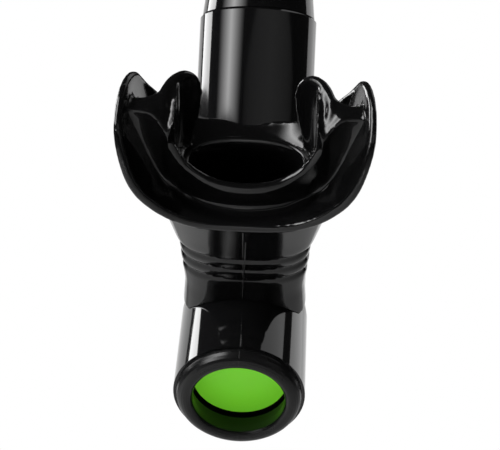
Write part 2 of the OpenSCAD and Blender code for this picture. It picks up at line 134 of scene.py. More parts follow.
def shape_tube(name, sides, rows, place):
    """Adds a cylinder, cuts it into rows and shapes it: place(angle, row) gives each point."""
    clear_selection()
    bpy.ops.mesh.primitive_cylinder_add(vertices=sides, radius=1, depth=2, end_fill_type="NGON")
    piece = named(name)
    bm = bmesh.new()
    bm.from_mesh(piece.data)
    upright = [e for e in bm.edges if abs(e.verts[0].co.z - e.verts[1].co.z) > 1]
    bmesh.ops.subdivide_edges(bm, edges=upright, cuts=rows - 2, use_grid_fill=False)
    for vertex in bm.verts:
        row = (vertex.co.z + 1) / 2
        vertex.co = place(math.atan2(vertex.co.y, vertex.co.x), row)
    bm.to_mesh(piece.data)
    bm.free()
    return piece


def shape_ring(name, around, section, place):
    """Adds a torus and shapes it: place(v, w) gives each point, v round the ring and w round its section."""
    clear_selection()
    bpy.ops.mesh.primitive_torus_add(major_segments=around, minor_segments=section, major_radius=2,
                                     minor_radius=1)
    piece = named(name)
    for vertex in piece.data.vertices:
        x, y, z = vertex.co
        v = math.atan2(y, x) / math.tau % 1.0
        w = math.atan2(z, math.hypot(x, y) - 2) / math.tau % 1.0
        vertex.co = place(v, w)
    return piece


def shape_box(name, cuts, place):
    """Adds a cube, subdivides it and shapes it: place(corner) gives each point."""
    clear_selection()
    bpy.ops.mesh.primitive_cube_add(size=2)
    piece = named(name)
    bpy.ops.object.mode_set(mode="EDIT")
    bpy.ops.mesh.select_all(action="SELECT")
    bpy.ops.mesh.subdivide(number_cuts=cuts)
    bpy.ops.object.mode_set(mode="OBJECT")
    for vertex in piece.data.vertices:
        vertex.co = place(vertex.co)
    return piece


def finish_with(piece, kind, **values):
    """Adds one modifier, sets it and applies it."""
    select_only(piece)
    modifier = piece.modifiers.new(kind.title(), kind)
    for key, value in values.items():
        setattr(modifier, key, value)
    bpy.ops.object.modifier_apply(modifier=modifier.name)
    return piece


def outward(piece, merge=0.001):
    """Turns the faces of a closed piece outwards, and first merges points closer than merge."""
    select_only(piece)
    bpy.ops.object.mode_set(mode="EDIT")
    bpy.ops.mesh.select_all(action="SELECT")
    if merge:
        bpy.ops.mesh.remove_doubles(threshold=merge)
    bpy.ops.mesh.normals_make_consistent(inside=False)
    bpy.ops.object.mode_set(mode="OBJECT")
    return piece


def join_all(pieces, name):
    """Joins pieces into one object."""
    clear_selection()
    for piece in pieces:
        piece.select_set(True)
    bpy.context.view_layer.objects.active = pieces[0]
    bpy.ops.object.join()
    return named(name)


def cut_with(piece, cutter):
    """Cuts a piece with another and removes the cutter."""
    finish_with(piece, "BOOLEAN", object=cutter, operation="DIFFERENCE", solver="EXACT")
    bpy.data.objects.remove(cutter)
    return piece


def set_down(piece, matrix):
    """Takes a piece drawn in millimetres to its place, with its object at the origin."""
    piece.data.transform(matrix)
    piece.matrix_world = Matrix.Identity(4)
    return piece


def shade_smooth(piece, degrees):
    """Shades a piece smooth where its faces meet at less than an angle."""
    select_only(piece)
    bpy.ops.object.shade_smooth_by_angle(angle=math.radians(degrees))


# ---------- form of the mouthpiece, in millimetres along X, N and the mouth's axis ----------
def signed_power(value, power):
    """Power of a value that keeps its sign."""
    return math.copysign(abs(value) ** power, value)


def ease(value):
    """Smooth step from 0 to 1."""
    c = min(max(value, 0.0), 1.0)
    return c * c * (3 - 2 * c)


def table_value(table, key, column=1):
    """Smooth value between the rows of a table whose first column rises."""
    if key <= table[0][0]:
        return table[0][column]
    for i in range(len(table) - 1):
        if key <= table[i + 1][0]:
            break
    else:
        return table[-1][column]
    low, high = table[i], table[i + 1]
    before, after = table[max(i - 1, 0)], table[min(i + 2, len(table) - 1)]
    step = high[0] - low[0]
    s = (key - low[0]) / step
    m0 = (high[column] - before[column]) / max(high[0] - before[0], 1e-9) * step
    m1 = (after[column] - low[column]) / max(after[0] - low[0], 1e-9) * step
    return ((2 * s**3 - 3 * s * s + 1) * low[column] + (s**3 - 2 * s * s + s) * m0
            + (-2 * s**3 + 3 * s * s) * high[column] + (s**3 - s * s) * m1)


# Paths over half the width, from the bottom centre upwards: the flange's rim, the guard's edge and its foot.
# A foot's points have no height of their own: all lie at FOOT_M.
RIM_PATH = [(0, -19.2, -5.4), (13.5, -19.2, -4), (22.3, -19.3, 2.2), (28.2, -18, 9.9), (31.5, -11.7, 18.2),
            (31.9, -4, 22.6), (31, 4.3, 23.4), (29.1, 10.4, 20.6), (25.7, 11.6, 14.5), (21.2, 14.2, 6.1),
            (14, 17.5, -2.4), (7, 18.8, -4.7), (0, 17.8, -5.7)]
GUARD_EDGE = [(0, -9.4, 2.2), (5, -9, 2.4), (9.5, -7.8, 3.2), (14, -6.6, 6), (17, -6, 10.5),
              (19, -4.9, 15.6), (20, -1.5, 18.9), (20.1, 2.7, 20), (19.1, 6.3, 20.3), (17.4, 9.2, 20.3),
              (15, 11.6, 19.4), (12.7, 12.4, 17.2), (11.7, 12.2, 13.6), (12, 11.6, 9), (13, 10.6, 4.4),
              (14.6, 9.2, 0), (15.4, 7.9, -4.5), (15.4, 6.9, -8)]
GUARD_FOOT = [(0, -9.2), (4.8, -8.8), (9, -7.6), (13, -5.6), (15.2, -3.9), (16, -2.2), (16.3, 0),
              (16.4, 1.8), (16.5, 3.2), (16.5, 4.2), (16.4, 5), (16.3, 5.6), (16.2, 6.1), (16, 6.5),
              (15.8, 6.7), (15.6, 6.8), (15.4, 6.9), (15.2, 6.9)]
FOOT_M = -8.7
# Flange: where it starts outside the opening, how late it turns to the lips, the share that rounds its rim.
ROOT_SCALE = 1.12
DISH_POWER = 2.4
RIM_ROUND = 0.06
# Guard: half axes of the oval it stands round, where its wall's direction is taken, how its rows crowd to the
# edge, the share that rounds its edge, and how fast its ends thin out.
GUARD_OVAL = (15, 11.4)
GUARD_MIDDLE = 0.3
GUARD_CROWD = 1.6
GUARD_ROUND = 0.045
GUARD_ENDS = 3.4
# Webs: x at their root, then x and height at the wing's tip.
WEB_ROOT_X = 16.5
WEB_TIP_X, WEB_TIP_M = 31.6, 22.9
# Tabs: how deep they sit in the web, how far they stay behind the reach, and how their front leans back
# below HEEL_N.
TAB_SUNK, TAB_SHORT = 0.3, 0.2
HEEL_LEAN, HEEL_N = 1.1, -3.5
# Rows of the neck (m, half width, half depth), the tabs (x, top, underside) and the passage (m, half width,
# half height, power of its oval).
NECK_ROWS = [(-60, 17.9, 9.7), (-53, 17.4, 9), (-49, 17.2, 8.6), (-45, 17.5, 8.4), (-42, 17.8, 8.4),
             (-36, 18.2, 9), (-31, 18.5, 9.7), (-28, 19.4, 10.2), (-24, 20.4, 10.9), (-19, 21.6, 12),
             (-14, 22.8, 13.2), (-10, 23.8, 14), (-7.6, 22.4, 13.4), (-5.4, 18.9, 11.6), (-1.6, 16.5, 10.2)]
NECK_POWER = 0.8
GROOVES = (-30.6, -35.6, -40.6)
GROOVE_HALF, GROOVE_FLAT = 0.95, 1.35
TAB_ROWS = [(18, 8.2, -4.6), (19.4, 8.6, -7), (20.4, 7.4, -6.4), (21.6, 5.9, -5.3), (23.1, 4, -3.9),
            (25, 2.8, -3.1), (27, 2.2, -2.8), (29.2, 2.2, -2.8), (30.8, 2.8, -3.4)]
PASSAGE_ROWS = [(-62, 14.4, 5.8, 2.5), (-32, 14.4, 5.8, 2.5), (-20, 14.2, 6.4, 2.5), (-8, 13.9, 7, 2.6),
                (-4.6, 14.2, 7.6, 2.6), (-2.6, 14.9, 8.6, 2.6), (-0.9, 15.8, 9.6, 2.6)]
PASSAGE_CROWD = 2.5
LIP_LIFT = 0.35

# Softening, in mm: how near an edge keeps its form, where the ears and the guard's foot end, and the widths
# over which it sets in there.
KEPT, FADED = 1.8, 2.5
EAR_X, EAR_N = 19.5, -3
FOOT_CLEAR = 7.5
SET_IN_X, SET_IN_N, SET_IN_M = 1.5, 2, 1.5


def bend(a, b, c, d, s):
    """Point at s from b to c on the smooth curve through four points."""
    a, b, c, d = Vector(a), Vector(b), Vector(c), Vector(d)
    return 0.5 * (2 * b + (c - a) * s + (2 * a - 5 * b + 4 * c - d) * s * s
                  + (3 * b - a - 3 * c + d) * s * s * s)


def flipped(point):
    """The point mirrored in X."""
    return (-point[0], *point[1:])


def on_loop(path, v):
    """Point v of the way round a half path and its mirror image, from 0 to 1."""
    loop = path + [flipped(p) for p in path[-2:0:-1]]
    n = len(loop)
    i = math.floor(v * n)
    return bend(loop[(i - 1) % n], loop[i % n], loop[(i + 1) % n], loop[(i + 2) % n], v * n - i)


def on_both_sides(path, v):
    """Point at v on a half path, from -1 at the far end of its mirror image to 1 at its own."""
    last = len(path) - 1
    far = abs(v) * last
    i = min(int(far), last - 1)
    before = flipped(path[1]) if i == 0 else path[i - 1]
    point = bend(before, path[i], path[i + 1], path[min(i + 2, last)], far - i)
    if v < 0:
        point[0] = -point[0]
    return point


def flange_middle(v, u, form):
    """The flange's middle surface: v round the rim, u from the opening out to the rim."""
    rim = on_loop(RIM_PATH, v)
    angle = math.atan2(rim.y / form.half_height, rim.x / form.half_width)
    root = Vector((form.opening_width * ROOT_SCALE * math.cos(angle),
                   form.opening_height * ROOT_SCALE * math.sin(angle)))
    across = root.lerp(rim.xy, u)
    return Vector((across.x, across.y, -form.dish + (rim.z + form.dish) * max(u, 0) ** DISH_POWER))


def flange_place(form):
    """The flange as a thin sheet; w runs out over its front and back along its rear."""
    d = 0.004

    def place(v, w):
        u = (1 - math.cos(w * math.tau)) / 2
        along = flange_middle(v + d, u, form) - flange_middle(v - d, u, form)
        inner = min(u + d, 1) - 2 * d
        out = flange_middle(v, inner + 2 * d, form) - flange_middle(v, inner, form)
        normal = out.cross(along).normalized()
        past = max(u - 1 + RIM_ROUND, 0) / RIM_ROUND
        half = form.thickness / 2 * math.sqrt(max(0.0, 1 - past ** 4))
        return flange_middle(v, u, form) + normal * (half if w < 0.5 else -half)
    return place


def guard_sheet(v, w):
    """The guard's inner face: v round the opening, w from its foot up to its edge."""
    edge, foot = on_both_sides(GUARD_EDGE, v), on_both_sides(GUARD_FOOT, v)
    return Vector((foot.x, foot.y, FOOT_M)).lerp(edge, w)


def guard_place(form):
    """The guard's wall; row runs round the opening and angle round the wall's section."""
    def place(angle, row):
        v = 2 * row - 1
        turn = angle % math.tau / math.tau
        middle = guard_sheet(v, GUARD_MIDDLE)
        normal = Vector((middle.x / GUARD_OVAL[0] ** 2, middle.y / GUARD_OVAL[1] ** 2, 0)).normalized()
        height = 1 - abs(2 * turn - 1)
        w = 1 - (1 - height) ** GUARD_CROWD
        past = max(w - 1 + GUARD_ROUND, 0) / GUARD_ROUND
        inset = 0.5 * (1 - math.sqrt(max(0.0, 1 - past ** 2.5)))
        wall = form.guard_wall * min(1.0, 0.5 + GUARD_ENDS * (1 - abs(v)))
        return guard_sheet(v, w) + normal * wall * (inset if turn < 0.5 else 1 - inset)
    return place


def web_floor(x, form):
    """Height of the wing's middle surface along the tab."""
    return -form.dish + (WEB_TIP_M + form.dish) * ((x - WEB_ROOT_X) / (WEB_TIP_X - WEB_ROOT_X)) ** DISH_POWER


def along_table(table, share):
    """First column's value a share of the way from the first row to the last."""
    return table[0][0] + (table[-1][0] - table[0][0]) * share


def tab_place(side, form):
    """A box wrapped between the guard and the wing; its sides run across, up and to the front."""
    def place(co):
        x = along_table(TAB_ROWS, (co.x + 1) / 2)
        up, low = table_value(TAB_ROWS, x, 1), table_value(TAB_ROWS, x, 2)
        back = web_floor(x, form) - TAB_SUNK
        front = form.reach - TAB_SHORT + HEEL_LEAN * min(0, low - HEEL_N) * (1 - co.y) / 2
        n = low + (up - low) * (co.y + 1) / 2
        return Vector((side * x, n, back + (front - back) * (co.z + 1) / 2))
    return place


def neck_place(form):
    """The neck and its cuff, with the grooves cut in."""
    def place(angle, row):
        m = along_table(NECK_ROWS, row)
        a, b = table_value(NECK_ROWS, m, 1), table_value(NECK_ROWS, m, 2)
        for groove in GROOVES:
            depth = form.groove * ease(GROOVE_FLAT - abs(m - groove) / GROOVE_HALF)
            a -= depth
            b -= depth
        return Vector((a * signed_power(math.cos(angle), NECK_POWER),
                       b * signed_power(math.sin(angle), NECK_POWER), m))
    return place


def passage_place(angle, row):
    """The passage through the neck, with its rows crowded towards the lips."""
    m = along_table(PASSAGE_ROWS, 1 - (1 - row) ** PASSAGE_CROWD)
    a, b, power = (table_value(PASSAGE_ROWS, m, column) for column in (1, 2, 3))
    return Vector((a * signed_power(math.cos(angle), 2 / power),
                   b * signed_power(math.sin(angle), 2 / power) + LIP_LIFT, m))


# ---------- settings ----------
def size(name, description, default):
    """A size in millimetres, as a setting."""
    return bpy.props.FloatProperty(name=name, description=description + ", mm", default=default)


def shade(name, description, default):
    """A colour with alpha, as a setting."""
    return bpy.props.FloatVectorProperty(name=name, description=description, subtype="COLOR", size=4,
                                         default=default)


def lean(name, description, degrees):
    """An angle, as a setting."""
    return bpy.props.FloatProperty(name=name, description=description, unit="ROTATION",
                                   default=math.radians(degrees))


def length(name, description, metres):
    """A length in the scene, as a setting."""
    return bpy.props.FloatProperty(name=name, description=description, unit="LENGTH", default=metres)


class SNORKEL_PG_mouthpiece(bpy.types.PropertyGroup):
    """Sizes of the silicone mouthpiece, in millimetres"""
    half_width: size("Half width", "Half the flange's width", 33)
    half_height: size("Half height", "Half the flange's height", 20)
    thickness: size("Flange", "Thickness of the flange", 2.45)
    dish: size("Dish", "Depth of the flange behind the lips", 7)
    reach: size("Reach", "How far the bite tabs come forwards", 20)
    opening_width: size("Opening", "Half the opening's width", 14.7)
    opening_height: size("Opening height", "Half the opening's height", 8.8)
    guard_wall: size("Guard", "Thickness of the tongue guard", 2.85)
    groove: size("Groove", "Depth of the neck's grooves", 0.9)
    voxel: size("Fineness", "Size of the mesh the rubber is cast in", 0.5)
    hollow_rounds: bpy.props.IntProperty(name="Hollows", description="How often the hollows are smoothed",
                                         default=150)


class SNORKEL_PG_finish(bpy.types.PropertyGroup):
    """Colours of the snorkel's finishes"""
    black: shade("Black", "Polished black plastic", (0.0045, 0.0045, 0.0048, 1))
    rubber: shade("Silicone", "Black silicone", (0.004, 0.004, 0.0042, 1))
    satin: shade("Satin", "Satin black plastic", (0.009, 0.009, 0.0092, 1))
    green: shade("Green", "Green silicone and trim", (0.2, 0.72, 0.03, 1))


class SNORKEL_PG_stage(bpy.types.PropertyGroup):
    """Camera, lamps and floor"""
    lens: bpy.props.FloatProperty(name="Lens", description="Focal length, mm", default=105)
    distance: length("Distance", "From the camera to the mouth opening", 0.381)
    look_up: lean("Look up", "How far the camera looks up", 4.7)
    roll: lean("Roll", "How far the camera leans", 2.67)
    turn: lean("Turn", "How far the camera stands to the side", 1.53)
    floor_z: length("Floor", "Height of the floor", -0.42)


# ---------- finishes ----------
# Scales of the textures per metre, and depths in metres.
BROAD_SCALE, GRAIN_SCALE, SPECK_SCALE, SPECK_SIZE = 60, 2600, 420, 0.06
GRAIN_DEPTH, LINE_DEPTH, BLEED = 0.00002, 0.00008, 0.002
DUST_COLOUR = (0.16, 0.16, 0.15, 1)
FRONT_LINE = {"Width": 0.0001, "Lowest": -0.08, "Highest": -0.006, "Front of": 0.06}
SEAL_COLOUR = (0.02, 0.02, 0.02, 1)
FLOAT_COLOUR = (0.3, 0.31, 0.32, 1)
STEEL_COLOUR = (0.6, 0.61, 0.63, 1)


def effect_group(name, inputs, outputs):
    """A shader group with its sockets; returns the group and its input and output nodes."""
    group = bpy.data.node_groups.new(name, "ShaderNodeTree")
    for label, kind, default in inputs:
        group.interface.new_socket(name=label, in_out="INPUT", socket_type=kind).default_value = default
    for label, kind in outputs:
        group.interface.new_socket(name=label, in_out="OUTPUT", socket_type=kind)
    return group, group.nodes.new("NodeGroupInput"), group.nodes.new("NodeGroupOutput")


def math_node(tree, operation, a, b=None, clamp=False):
    """One sum on numbers or sockets; returns its output."""
    node = tree.nodes.new("ShaderNodeMath")
    node.operation = operation
    node.use_clamp = clamp
    for slot, value in enumerate((a, b)):
        if value is None:
            continue
        if isinstance(value, (int, float)):
            node.inputs[slot].default_value = value
        else:
            tree.links.new(value, node.inputs[slot])
    return node.outputs[0]


def moulded_surface():
    """Uneven gloss, fine grain and specks of dust that every moulded part shows."""
    tree, given, out = effect_group(
        "moulded surface",
        [("Colour", "NodeSocketColor", (0.01, 0.01, 0.01, 1)), ("Gloss", "NodeSocketFloat", 0.1),
         ("Unevenness", "NodeSocketFloat", 0.04), ("Grain", "NodeSocketFloat", 0.02),
         ("Dust", "NodeSocketFloat", 0.0)],
        [("Colour", "NodeSocketColor"), ("Roughness", "NodeSocketFloat"), ("Normal", "NodeSocketVector")])
    place = tree.nodes.new("ShaderNodeTexCoord").outputs["Object"]
    broad, fine = (tree.nodes.new("ShaderNodeTexNoise") for _ in range(2))
    for noise, scale, detail in ((broad, BROAD_SCALE, 3), (fine, GRAIN_SCALE, 2)):
        noise.inputs["Scale"].default_value = scale
        noise.inputs["Detail"].default_value = detail
    specks = tree.nodes.new("ShaderNodeTexVoronoi")
    specks.inputs["Scale"].default_value = SPECK_SCALE
    for node in (broad, fine, specks):
        tree.links.new(place, node.inputs["Vector"])
    wander = math_node(tree, "SUBTRACT", broad.outputs["Fac"], 0.5)
    wander = math_node(tree, "MULTIPLY", wander, given.outputs["Unevenness"])
    rough = math_node(tree, "ADD", given.outputs["Gloss"], wander, clamp=True)
    speck = math_node(tree, "LESS_THAN", specks.outputs["Distance"], SPECK_SIZE)
    dust = math_node(tree, "MULTIPLY", speck, given.outputs["Dust"])
    rough = math_node(tree, "ADD", rough, math_node(tree, "MULTIPLY", dust, 0.5), clamp=True)
    shade = tree.nodes.new("ShaderNodeMix")
    shade.data_type = "RGBA"
    tree.links.new(dust, shade.inputs[0])
    tree.links.new(given.outputs["Colour"], shade.inputs[6])
    shade.inputs[7].default_value = DUST_COLOUR
    bump = tree.nodes.new("ShaderNodeBump")
    bump.inputs["Distance"].default_value = GRAIN_DEPTH
    tree.links.new(given.outputs["Grain"], bump.inputs["Strength"])
    tree.links.new(fine.outputs["Fac"], bump.inputs["Height"])
    tree.links.new(shade.outputs[2], out.inputs["Colour"])
    tree.links.new(rough, out.inputs["Roughness"])
    tree.links.new(bump.outputs["Normal"], out.inputs["Normal"])


def parting_line():
    """A fine raised line where the two halves of the mould met, in the plane X = 0 of the front."""
    tree, given, out = effect_group(
        "parting line",
        [("Width", "NodeSocketFloat", 0.00012), ("Lowest", "NodeSocketFloat", -0.1),
         ("Highest", "NodeSocketFloat", 0.0), ("Front of", "NodeSocketFloat", 0.08)],
        [("Line", "NodeSocketFloat")])
    split = tree.nodes.new("ShaderNodeSeparateXYZ")
    tree.links.new(tree.nodes.new("ShaderNodeTexCoord").outputs["Object"], split.inputs[0])
    across = math_node(tree, "ABSOLUTE", split.outputs["X"])
    across = math_node(tree, "DIVIDE", across, given.outputs["Width"])
    line = math_node(tree, "SUBTRACT", 1.0, across, clamp=True)
    for test, axis, limit in (("GREATER_THAN", "Z", "Lowest"), ("LESS_THAN", "Z", "Highest"),
                              ("LESS_THAN", "Y", "Front of")):
        within = math_node(tree, test, split.outputs[axis], given.outputs[limit])
        line = math_node(tree, "MULTIPLY", line, within)
    tree.links.new(line, out.inputs["Line"])


def moulded_finish(name, colour, gloss, unevenness, grain, dust=0.0, line=None, subsurface=0.0, metallic=0.0,
                   glow=0.0, specular=0.5):
    """A material on the moulded surface, with the parting line's values if it has one.

    Only dust makes its colour vary, so without it the colour stands on the shader itself.
    """
    material = bpy.data.materials.new(name)
    material.use_nodes = True
    tree = material.node_tree
    shader = tree.nodes["Principled BSDF"]
    surface = tree.nodes.new("ShaderNodeGroup")
    surface.node_tree = bpy.data.node_groups["moulded surface"]
    for label, value in (("Colour", tuple(colour)), ("Gloss", gloss), ("Unevenness", unevenness),
                         ("Grain", grain), ("Dust", dust)):
        surface.inputs[label].default_value = value
    if dust:
        tree.links.new(surface.outputs["Colour"], shader.inputs["Base Color"])
    else:
        shader.inputs["Base Color"].default_value = tuple(colour)
    tree.links.new(surface.outputs["Roughness"], shader.inputs["Roughness"])
    normal = surface.outputs["Normal"]
    if line:
        mark = tree.nodes.new("ShaderNodeGroup")
        mark.node_tree = bpy.data.node_groups["parting line"]
        for label, value in line.items():
            mark.inputs[label].default_value = value
        raised = tree.nodes.new("ShaderNodeBump")
        raised.inputs["Strength"].default_value = 0.8
        raised.inputs["Distance"].default_value = LINE_DEPTH
        tree.links.new(mark.outputs["Line"], raised.inputs["Height"])
        tree.links.new(normal, raised.inputs["Normal"])
        normal = raised.outputs["Normal"]
    tree.links.new(normal, shader.inputs["Normal"])
    # glow sets an emission in the material's own colour: painted light, since no part of the snorkel is a
    # lamp
    for label, value in (("Metallic", metallic), ("Subsurface Weight", subsurface),
                         ("Subsurface Scale", BLEED), ("Specular IOR Level", specular),
                         ("Emission Color", tuple(colour)), ("Emission Strength", glow)):
        shader.inputs[label].default_value = value
    return material


class SNORKEL_OT_finishes(bpy.types.Operator):
    """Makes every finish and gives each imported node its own"""
    bl_idname = "snorkel.finishes"
    bl_label = "Finishes"

    def execute(self, context):
        colours = context.scene.snorkel_finish
        moulded_surface()
        parting_line()
        made = {
            "silicone_black": moulded_finish("finish_rubber", colours.rubber, 0.12, 0.05, 0.05, dust=0.02),
            "gloss_black": moulded_finish("finish_gloss_black", colours.black, 0.07, 0.05, 0.02, dust=0.02,
                                          line=FRONT_LINE),
            "satin_black": moulded_finish("finish_satin_black", colours.satin, 0.22, 0.06, 0.08,
                                          line=FRONT_LINE, specular=0.3),
            # The green silicone glows at 0.36: painted light that shows it brighter than its lamps light it
            "silicone_green": moulded_finish("finish_silicone_green", colours.green, 0.35, 0.05, 0.08,
                                             subsurface=0.15, glow=0.36, specular=0.3),
            "seal_rubber": moulded_finish("finish_seal_rubber", SEAL_COLOUR, 0.6, 0.1, 0.2, dust=0.05),
            "green_plastic": moulded_finish("finish_green_plastic", colours.green, 0.15, 0.05, 0.04),
            "float_grey": moulded_finish("finish_float_grey", FLOAT_COLOUR, 0.5, 0.1, 0.3),
            "steel": moulded_finish("finish_steel", STEEL_COLOUR, 0.25, 0.1, 0.1, metallic=1.0),
        }
        slots = {part["node"]: part["material_slot"] for part in frame["record"]["subparts"]}
        for name, node in frame["nodes"].items():
            node.data.materials.clear()
            node.data.materials.append(made[slots[name]])
        return {"FINISHED"}


# ---------- pieces ----------
def soften_gutter(rubber, form):
    """Rounds the hollows between guard, webs and flange; the edges around them keep their form."""
    edges = [on_both_sides(GUARD_EDGE, i / 100 - 1) for i in range(12, 189)]
    edges += [on_loop(RIM_PATH, i / 240) for i in range(240)]
    for i in range(25):
        x = along_table(TAB_ROWS, i / 24)
        for column in (1, 2):
            edges += [Vector((side * x, table_value(TAB_ROWS, x, column), form.reach)) for side in (-1, 1)]
    edges += [Vector((a * math.cos(t), b * math.sin(t) + LIP_LIFT, m)) for m, a, b, _ in PASSAGE_ROWS[-3:]
              for t in (math.pi * i / 45 for i in range(7, 39))]
    tree = KDTree(len(edges))
    for i, spot in enumerate(edges):
        tree.insert(spot, i)
    tree.balance()
    hollow = rubber.vertex_groups.new(name="hollow")
    for vertex in rubber.data.vertices:
        beside_ear = max(ease((abs(vertex.co.x) - EAR_X) / SET_IN_X), ease((EAR_N - vertex.co.y) / SET_IN_N))
        off_edge = ease((tree.find(vertex.co)[2] - KEPT) / FADED)
        weight = beside_ear * off_edge * ease((vertex.co.z + FOOT_CLEAR) / SET_IN_M)
        if weight > 0:
            hollow.add([vertex.index], weight, "REPLACE")
    finish_with(rubber, "SMOOTH", factor=0.5, iterations=form.hollow_rounds, vertex_group="hollow")
    rubber.vertex_groups.clear()


def trim_to_housing(piece):
    """Cuts a piece back to the housing's outside, less a hair's gap."""
    cutters = []
    for name, radius, depth, matrix, middle in (
            ("tube_cutter", TUBE_R + CUFF_GAP, TUBE_LEN, BARREL, JUNCTION_Z + TUBE_LEN / 2),
            ("chamber_cutter", CHAMBER_R + CUFF_GAP, CHAMBER_LEN, PURGE, CHAMBER_LEN / 2)):
        clear_selection()
        bpy.ops.mesh.primitive_cylinder_add(vertices=160, radius=radius, depth=depth, location=(0, 0, middle))
        cutter = named(name)
        bpy.ops.object.transform_apply(location=True, rotation=True, scale=True)
        set_down(cutter, matrix)
        cutters.append(cutter)
    clear_selection()
    bpy.ops.mesh.primitive_uv_sphere_add(segments=96, ring_count=48, radius=CHAMBER_R + CUFF_GAP,
                                         location=(0, 0, JUNCTION_Z))
    elbow = named("elbow_cutter")
    bpy.ops.object.transform_apply(location=True, rotation=True, scale=True)
    set_down(elbow, BARREL)
    for cutter in (*cutters, elbow):
        cut_with(piece, cutter)


class SNORKEL_OT_mouthpiece(bpy.types.Operator):
    """Casts the silicone mouthpiece as one moulding"""
    bl_idname = "snorkel.mouthpiece"
    bl_label = "Mouthpiece"

    def execute(self, context):
        form = context.scene.snorkel_mouthpiece
        flange = shape_ring("flange", 320, 112, flange_place(form))
        guard = shape_tube("guard", 72, 260, guard_place(form))
        tabs = [shape_box("bite_tab", 24, tab_place(side, form)) for side in (-1, 1)]
        neck = shape_tube("neck", 144, 180, neck_place(form))
        body = [outward(p) for p in (flange, guard, neck, *tabs)]
        rubber = join_all(body, "snorkel_mouthpiece")
        finish_with(rubber, "REMESH", mode="VOXEL", voxel_size=form.voxel, adaptivity=0)
        cut_with(rubber, outward(shape_tube("passage", 128, 80, passage_place)))
        finish_with(rubber, "REMESH", mode="VOXEL", voxel_size=form.voxel, adaptivity=0)
        finish_with(rubber, "SMOOTH", factor=0.5, iterations=8)
        soften_gutter(rubber, form)
        set_down(rubber, MOUTH)
        trim_to_housing(rubber)
        shade_smooth(rubber, 40)
        rubber.data.materials.clear()
        rubber.data.materials.append(bpy.data.materials["finish_rubber"])
        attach(rubber, "housing")
        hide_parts("mouthpiece")
        return {"FINISHED"}


# Rows of a raised line, half its width and its height in mm, and the angle up to which it is shaded smooth.
LINE_ROWS = 60
LINE_HALF, LINE_HEIGHT = 0.13, 0.07
LINE_ANGLE = 60


def line_along(name, carrier):
    """A fine raised line on a piece, along the rays between the line's two image points."""
    tree = tree_of([carrier])
    (x0, y0), (x1, y1) = IMAGE_POINTS[name + "_top"], IMAGE_POINTS[name + "_foot"]
    steps = LINE_ROWS - 1
    spots = [place_on(tree, x0 + (x1 - x0) * i / steps, y0 + (y1 - y0) * i / steps) for i in range(LINE_ROWS)]

    def place(angle, row):
        spot, normal = spots[round(row * steps)]
        across = Vector((1, 0, 0)) * LINE_HALF * math.cos(angle)
        return spot + (across + normal * LINE_HEIGHT * math.sin(angle)) * MM
    line = outward(shape_tube(name, 8, LINE_ROWS, place), merge=0)
    shade_smooth(line, LINE_ANGLE)
    return line


class SNORKEL_OT_parting_lines(bpy.types.Operator):
    """Raises the fine lines that the moulds left down the front"""
    bl_idname = "snorkel.parting_lines"
    bl_label = "Parting Lines"

    def execute(self, context):
        for name, carrier, finish, slot in (
                ("neck_line", "snorkel_mouthpiece", "finish_rubber", "silicone_black"),
                ("chamber_line", "lower_housing", "finish_gloss_black", "gloss_black")):
            line = line_along(name, bpy.data.objects[carrier])
            line.data.materials.append(bpy.data.materials[finish])
            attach(line, "housing")
        return {"FINISHED"}


# ---------- stage ----------
SENSOR = 36
LAMP_TARGET = (0, 0.03, 0)
# Name, place, width, height, strength and how its light fades towards its long sides.
LAMPS = (
    ("lamp_left", (-0.8, -0.56, 0.62), 1.25, 0.95, 9, 1.5),
    ("lamp_left_back", (-1.03, 0.56, 0.45), 0.6, 0.45, 8),
    ("lamp_right_back", (1.05, 1.1, 0.3), 0.8, 0.7, 1.3),
    ("lamp_low", (-0.04, -0.67, -0.41), 0.24, 0.16, 1.8),
    ("lamp_right_top", (0.85, 0.5, 1.2), 1.2, 0.9, 1.1, 0.7),
    ("lamp_front", (0.8, -1.4, 0.3), 4.0, 0.4, 0.35, 0.5),
    ("backdrop_glow", (0, 1.9, 0.2), 3.4, 1.3, 1.0),
)


def glow_material(name, strength, edge_fade):
    """A lamp's face; edge_fade darkens it towards its long sides."""
    material = bpy.data.materials.new(name)
    material.use_nodes = True
    tree = material.node_tree
    tree.nodes.clear()
    out = tree.nodes.new("ShaderNodeOutputMaterial")
    glow = tree.nodes.new("ShaderNodeEmission")
    glow.inputs["Color"].default_value = (1, 1, 1, 1)
    if edge_fade:
        uv = tree.nodes.new("ShaderNodeUVMap")
        split = tree.nodes.new("ShaderNodeSeparateXYZ")
        tree.links.new(uv.outputs[0], split.inputs[0])
        centred = math_node(tree, "ABSOLUTE", math_node(tree, "SUBTRACT", split.outputs["X"], 0.5))
        fade = math_node(tree, "SUBTRACT", 1.0, math_node(tree, "MULTIPLY", centred, 2.0), clamp=True)
        fade = math_node(tree, "POWER", fade, edge_fade)
        tree.links.new(math_node(tree, "MULTIPLY", fade, strength), glow.inputs["Strength"])
    else:
        glow.inputs["Strength"].default_value = strength
    tree.links.new(glow.outputs[0], out.inputs["Surface"])
    return material


def soft_panel(name, at, width, height, strength, edge_fade=0.0):
    """A glowing panel that faces the snorkel and that only mirrors and surfaces see."""
    clear_selection()
    bpy.ops.mesh.primitive_plane_add(size=1)
    panel = named(name)
    panel.data.transform(Matrix.Diagonal((width, height, 1, 1)))
    look = (Vector(LAMP_TARGET) - Vector(at)).to_track_quat("Z", "Y")
    panel.matrix_world = Matrix.Translation(at) @ look.to_matrix().to_4x4()
    panel.data.materials.append(glow_material(name, strength, edge_fade))
    panel.visible_camera = False


